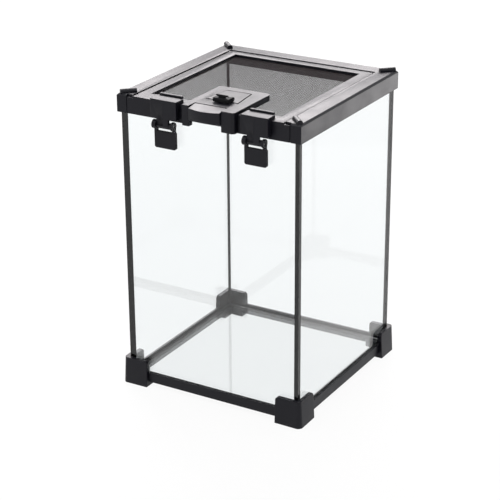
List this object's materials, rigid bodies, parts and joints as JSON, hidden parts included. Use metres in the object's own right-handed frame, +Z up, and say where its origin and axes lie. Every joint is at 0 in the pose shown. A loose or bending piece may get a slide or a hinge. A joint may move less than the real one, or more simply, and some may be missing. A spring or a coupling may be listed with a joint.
{
  "type": "reptile terrarium",
  "caption": "Small square glass terrarium with black plastic base, feet and top frame, a hinged mesh lid with front latches, and a lid hatch with a feeding door.",
  "frame": {"origin": "on the table, under the middle of the whole outline", "axes": "+X along the front to the right, +Y to the back, +Z up"},
  "size_m": [0.2, 0.208, 0.3065],
  "materials": {
    "glass": "clear",
    "silicone": "satin",
    "black_plastic": "satin",
    "gloss_black": "gloss",
    "mesh": "matt",
    "steel": "satin"
  },
  "bodies": {
    "tank": {"glass_front": "glass", "glass_back": "glass", "glass_left": "glass", "glass_right": "glass", "glass_floor": "glass", "corner_seam_front_left": "silicone", "corner_seam_front_right": "silicone", "corner_seam_back_left": "silicone", "corner_seam_back_right": "silicone", "floor_seal": "silicone", "base_rail_front": "black_plastic", "base_rail_back": "black_plastic", "base_rail_left": "black_plastic", "base_rail_right": "black_plastic", "foot_front_left": "black_plastic", "foot_front_right": "black_plastic", "foot_back_left": "black_plastic", "foot_back_right": "black_plastic", "top_frame": "black_plastic", "stacking_studs": "black_plastic", "lid_hinge_pin_left": "steel", "lid_hinge_pin_right": "steel"},
    "lid": {"lid_frame": "black_plastic", "lid_mesh": "mesh", "mesh_retainer": "black_plastic", "hatch_plate": "black_plastic", "hatch_ring": "black_plastic", "front_pull": "black_plastic", "door_hinge_pin": "steel", "latch_clip_left": "black_plastic", "latch_clip_right": "black_plastic", "latch_pin_left": "steel", "latch_pin_right": "steel"},
    "feeding_door": {"feeding_door": "black_plastic", "lever_pin": "steel"},
    "door_lever": {"door_lever": "gloss_black"},
    "latch_flap_left": {"latch_flap_left": "black_plastic"},
    "latch_flap_right": {"latch_flap_right": "black_plastic"}
  },
  "joints": [
    {"name": "lid_hinge", "type": "hinge", "parent": "tank", "child": "lid", "pos_m": [0, 0.0811, 0.2949], "axis": [-1, 0, 0], "range_deg": [0, 105]},
    {"name": "feeding_door_hinge", "type": "hinge", "parent": "lid", "child": "feeding_door", "pos_m": [0.0046, -0.0433, 0.29805], "axis": [-1, 0, 0], "range_deg": [0, 100]},
    {"name": "door_lever_hinge", "type": "hinge", "parent": "feeding_door", "child": "door_lever", "pos_m": [0.007, -0.0704, 0.3017], "axis": [-1, 0, 0], "range_deg": [0, 80]},
    {"name": "latch_left_hinge", "type": "hinge", "parent": "lid", "child": "latch_flap_left", "pos_m": [-0.04205, -0.0964, 0.2754], "axis": [-1, 0, 0], "range_deg": [0, 100]},
    {"name": "latch_right_hinge", "type": "hinge", "parent": "lid", "child": "latch_flap_right", "pos_m": [0.05325, -0.0964, 0.2754], "axis": [-1, 0, 0], "range_deg": [0, 100]}
  ]
}
